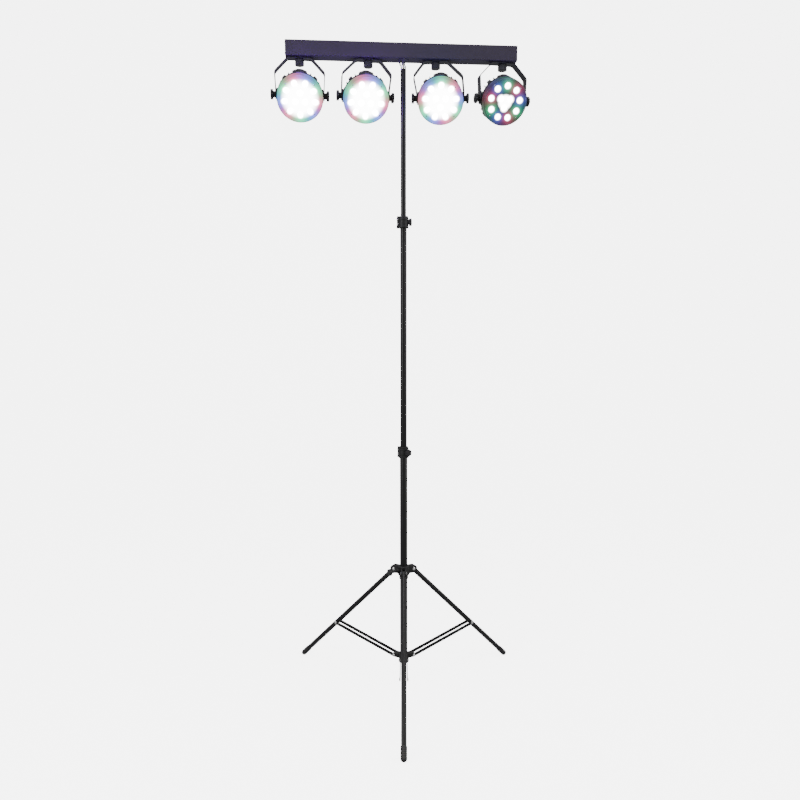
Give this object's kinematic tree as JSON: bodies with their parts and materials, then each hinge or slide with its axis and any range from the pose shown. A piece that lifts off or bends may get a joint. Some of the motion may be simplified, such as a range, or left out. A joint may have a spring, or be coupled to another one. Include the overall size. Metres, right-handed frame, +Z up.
{
  "type": "led par light bar on tripod stand",
  "caption": "Slim LED par heads in strap yokes under a T-bar on a telescopic mast with a folding tripod.",
  "frame": {"origin": "on the floor under the mast axis", "axes": "+Z up along the mast, +X along the T-bar, heads face -Y"},
  "size_m": [0.8925, 0.7525, 2.28],
  "materials": {
    "bar_paint": "satin",
    "mast_paint": "gloss",
    "yoke_paint": "satin",
    "chrome": "polished",
    "steel": "brushed",
    "knob_plastic": "matte",
    "shell_plastic": "fine moulded grain",
    "face_plastic": "semi gloss",
    "lens_clear": "clear",
    "circuit_board": "white solder mask",
    "clamp_plastic": "fine moulded grain",
    "electronics": "satin",
    "socket_plastic": "moulded",
    "button_rubber": "matte"
  },
  "bodies": {
    "base": {"mast_tube_bottom": "mast_paint", "lower_clamp": "clamp_plastic", "base_hub": "clamp_plastic"},
    "lower_knob": {"lower_clamp_knob": "knob_plastic"},
    "middle_mast": {"mast_tube_middle": "mast_paint", "upper_clamp": "clamp_plastic"},
    "upper_knob": {"upper_clamp_knob": "knob_plastic"},
    "top_mast": {"mast_tube_top": "mast_paint", "mast_spigot": "chrome"},
    "t_bar": {"bar_housing": "bar_paint", "bar_end_caps": "bar_paint", "mast_socket": "steel", "rear_panel": "bar_paint", "panel_sockets": "socket_plastic", "power_supply": "electronics"},
    "socket_knob": {"mast_socket_knob": "knob_plastic"},
    "crown": {"crown": "clamp_plastic"},
    "crown_lock": {"crown_knob": "knob_plastic"},
    "leg_1": {"leg_1": "mast_paint"},
    "brace_1": {"brace_1": "mast_paint"},
    "leg_2": {"leg_2": "mast_paint"},
    "brace_2": {"brace_2": "mast_paint"},
    "leg_3": {"leg_3": "mast_paint"},
    "brace_3": {"brace_3": "mast_paint"},
    "yoke_1": {"yoke_1": "yoke_paint"},
    "hang_knob_1": {"hang_knob_1": "knob_plastic"},
    "head_1": {"rear_housing_1": "shell_plastic", "front_cover_1": "face_plastic", "lenses_1": "lens_clear", "led_board_1": "circuit_board"},
    "side_knob_left_1": {"side_knob_left_1": "knob_plastic"},
    "side_knob_right_1": {"side_knob_right_1": "knob_plastic"},
    "button_1": {"button_1": "button_rubber"},
    "yoke_2": {"yoke_2": "yoke_paint"},
    "hang_knob_2": {"hang_knob_2": "knob_plastic"},
    "head_2": {"rear_housing_2": "shell_plastic", "front_cover_2": "face_plastic", "lenses_2": "lens_clear", "led_board_2": "circuit_board"},
    "side_knob_left_2": {"side_knob_left_2": "knob_plastic"},
    "side_knob_right_2": {"side_knob_right_2": "knob_plastic"},
    "button_2": {"button_2": "button_rubber"},
    "yoke_3": {"yoke_3": "yoke_paint"},
    "hang_knob_3": {"hang_knob_3": "knob_plastic"},
    "head_3": {"rear_housing_3": "shell_plastic", "front_cover_3": "face_plastic", "lenses_3": "lens_clear", "led_board_3": "circuit_board"},
    "side_knob_left_3": {"side_knob_left_3": "knob_plastic"},
    "side_knob_right_3": {"side_knob_right_3": "knob_plastic"},
    "button_3": {"button_3": "button_rubber"},
    "yoke_4": {"yoke_4": "yoke_paint"},
    "hang_knob_4": {"hang_knob_4": "knob_plastic"},
    "head_4": {"rear_housing_4": "shell_plastic", "front_cover_4": "face_plastic", "lenses_4": "lens_clear", "led_board_4": "circuit_board"},
    "side_knob_left_4": {"side_knob_left_4": "knob_plastic"},
    "side_knob_right_4": {"side_knob_right_4": "knob_plastic"},
    "button_4": {"button_4": "button_rubber"}
  },
  "joints": [
    {"name": "middle_mast_slide", "type": "slide", "parent": "base", "child": "middle_mast", "axis": [0, 0, 1], "range_m": [-0.62, 0]},
    {"name": "top_mast_slide", "type": "slide", "parent": "middle_mast", "child": "top_mast", "axis": [0, 0, 1], "range_m": [-0.27, 0.09]},
    {"name": "bar_turn", "type": "hinge", "parent": "top_mast", "child": "t_bar", "pos_m": [0, 0, 2.25], "axis": [0, 0, 1], "range_deg": [-180, 180]},
    {"name": "lower_knob_turn", "type": "hinge", "parent": "base", "child": "lower_knob", "pos_m": [0, 0, 0.878], "axis": [0.6428, -0.766, 0], "continuous": true},
    {"name": "upper_knob_turn", "type": "hinge", "parent": "middle_mast", "child": "upper_knob", "pos_m": [0, 0, 1.69], "axis": [0.9903, -0.1392, 0], "continuous": true},
    {"name": "socket_knob_turn", "type": "hinge", "parent": "t_bar", "child": "socket_knob", "pos_m": [0, 0, 2.25], "axis": [0, 1, 0], "continuous": true},
    {"name": "crown_slide", "type": "slide", "parent": "base", "child": "crown", "axis": [0, 0, 1], "range_m": [0, 0.315]},
    {"name": "crown_knob_turn", "type": "hinge", "parent": "crown", "child": "crown_lock", "pos_m": [0, 0, 0.44042], "axis": [-0.9026, -0.4305, 0], "continuous": true},
    {"name": "leg_1_fold", "type": "hinge", "parent": "crown", "child": "leg_1", "pos_m": [-0.00298, -0.03788, 0.44042], "axis": [0.9969, -0.0785, 0], "range_deg": [0, 45]},
    {"name": "brace_1_fold", "type": "hinge", "parent": "base", "child": "brace_1", "pos_m": [-0.00282, -0.03589, 0.11], "axis": [-0.9969, 0.0785, 0], "range_deg": [0, 75.33]},
    {"name": "leg_2_fold", "type": "hinge", "parent": "crown", "child": "leg_2", "pos_m": [0.0343, 0.01636, 0.44042], "axis": [-0.4305, 0.9026, 0], "range_deg": [0, 45]},
    {"name": "brace_2_fold", "type": "hinge", "parent": "base", "child": "brace_2", "pos_m": [0.03249, 0.0155, 0.11], "axis": [0.4305, -0.9026, 0], "range_deg": [0, 75.33]},
    {"name": "leg_3_fold", "type": "hinge", "parent": "crown", "child": "leg_3", "pos_m": [-0.03132, 0.02152, 0.44042], "axis": [-0.5664, -0.8241, 0], "range_deg": [0, 45]},
    {"name": "brace_3_fold", "type": "hinge", "parent": "base", "child": "brace_3", "pos_m": [-0.02967, 0.02039, 0.11], "axis": [0.5664, 0.8241, 0], "range_deg": [0, 75.33]},
    {"name": "pan_1", "type": "hinge", "parent": "t_bar", "child": "yoke_1", "pos_m": [-0.351, 0, 2.23], "axis": [0, 0, 1], "range_deg": [-90, 90]},
    {"name": "tilt_1", "type": "hinge", "parent": "yoke_1", "child": "head_1", "pos_m": [-0.351, 0, 2.108], "axis": [-0.9986, -0.0523, 0], "range_deg": [-54, 126]},
    {"name": "hang_knob_1_turn", "type": "hinge", "parent": "t_bar", "child": "hang_knob_1", "pos_m": [-0.351, 0, 2.23], "axis": [0, 0, 1], "continuous": true},
    {"name": "side_knob_left_1_turn", "type": "hinge", "parent": "head_1", "child": "side_knob_left_1", "pos_m": [-0.351, 0, 2.108], "axis": [-0.9986, -0.0523, 0], "continuous": true},
    {"name": "side_knob_right_1_turn", "type": "hinge", "parent": "head_1", "child": "side_knob_right_1", "pos_m": [-0.351, 0, 2.108], "axis": [0.9986, 0.0523, 0], "continuous": true},
    {"name": "pan_2", "type": "hinge", "parent": "t_bar", "child": "yoke_2", "pos_m": [-0.12, 0, 2.23], "axis": [0, 0, 1], "range_deg": [-90, 90]},
    {"name": "tilt_2", "type": "hinge", "parent": "yoke_2", "child": "head_2", "pos_m": [-0.12996, -0.00087, 2.108], "axis": [-0.9962, -0.0872, 0], "range_deg": [-54, 126]},
    {"name": "hang_knob_2_turn", "type": "hinge", "parent": "t_bar", "child": "hang_knob_2", "pos_m": [-0.12, 0, 2.23], "axis": [0, 0, 1], "continuous": true},
    {"name": "side_knob_left_2_turn", "type": "hinge", "parent": "head_2", "child": "side_knob_left_2", "pos_m": [-0.12996, -0.00087, 2.108], "axis": [-0.9962, -0.0872, 0], "continuous": true},
    {"name": "side_knob_right_2_turn", "type": "hinge", "parent": "head_2", "child": "side_knob_right_2", "pos_m": [-0.12996, -0.00087, 2.108], "axis": [0.9962, 0.0872, 0], "continuous": true},
    {"name": "pan_3", "type": "hinge", "parent": "t_bar", "child": "yoke_3", "pos_m": [0.111, 0, 2.23], "axis": [0, 0, 1], "range_deg": [-90, 90]},
    {"name": "tilt_3", "type": "hinge", "parent": "yoke_3", "child": "head_3", "pos_m": [0.12696, -0.00112, 2.108], "axis": [-0.9976, 0.0698, 0], "range_deg": [-56, 124]},
    {"name": "hang_knob_3_turn", "type": "hinge", "parent": "t_bar", "child": "hang_knob_3", "pos_m": [0.111, 0, 2.23], "axis": [0, 0, 1], "continuous": true},
    {"name": "side_knob_left_3_turn", "type": "hinge", "parent": "head_3", "child": "side_knob_left_3", "pos_m": [0.12696, -0.00112, 2.108], "axis": [-0.9976, 0.0698, 0], "continuous": true},
    {"name": "side_knob_right_3_turn", "type": "hinge", "parent": "head_3", "child": "side_knob_right_3", "pos_m": [0.12696, -0.00112, 2.108], "axis": [0.9976, -0.0698, 0], "continuous": true},
    {"name": "pan_4", "type": "hinge", "parent": "t_bar", "child": "yoke_4", "pos_m": [0.342, 0, 2.23], "axis": [0, 0, 1], "range_deg": [-90, 90]},
    {"name": "tilt_4", "type": "hinge", "parent": "yoke_4", "child": "head_4", "pos_m": [0.342, 0, 2.108], "axis": [-0.9903, -0.1392, 0], "range_deg": [-62, 118]},
    {"name": "hang_knob_4_turn", "type": "hinge", "parent": "t_bar", "child": "hang_knob_4", "pos_m": [0.342, 0, 2.23], "axis": [0, 0, 1], "continuous": true},
    {"name": "side_knob_left_4_turn", "type": "hinge", "parent": "head_4", "child": "side_knob_left_4", "pos_m": [0.342, 0, 2.108], "axis": [-0.9903, -0.1392, 0], "continuous": true},
    {"name": "side_knob_right_4_turn", "type": "hinge", "parent": "head_4", "child": "side_knob_right_4", "pos_m": [0.342, 0, 2.108], "axis": [0.9903, 0.1392, 0], "continuous": true},
    {"name": "button_1_press", "type": "slide", "parent": "t_bar", "child": "button_1", "axis": [0, -1, 0], "range_m": [0, 0.001], "stiffness_N_per_m": 400, "springref_m": -0.001},
    {"name": "button_2_press", "type": "slide", "parent": "t_bar", "child": "button_2", "axis": [0, -1, 0], "range_m": [0, 0.001], "stiffness_N_per_m": 400, "springref_m": -0.001},
    {"name": "button_3_press", "type": "slide", "parent": "t_bar", "child": "button_3", "axis": [0, -1, 0], "range_m": [0, 0.001], "stiffness_N_per_m": 400, "springref_m": -0.001},
    {"name": "button_4_press", "type": "slide", "parent": "t_bar", "child": "button_4", "axis": [0, -1, 0], "range_m": [0, 0.001], "stiffness_N_per_m": 400, "springref_m": -0.001}
  ],
  "couplings": [
    {"joint": "leg_1_fold", "follows": "crown_slide", "rad_per_m": 2.4933},
    {"joint": "brace_1_fold", "follows": "crown_slide", "rad_per_m": 4.1732},
    {"joint": "leg_2_fold", "follows": "crown_slide", "rad_per_m": 2.4933},
    {"joint": "brace_2_fold", "follows": "crown_slide", "rad_per_m": 4.1732},
    {"joint": "leg_3_fold", "follows": "crown_slide", "rad_per_m": 2.4933},
    {"joint": "brace_3_fold", "follows": "crown_slide", "rad_per_m": 4.1732}
  ]
}
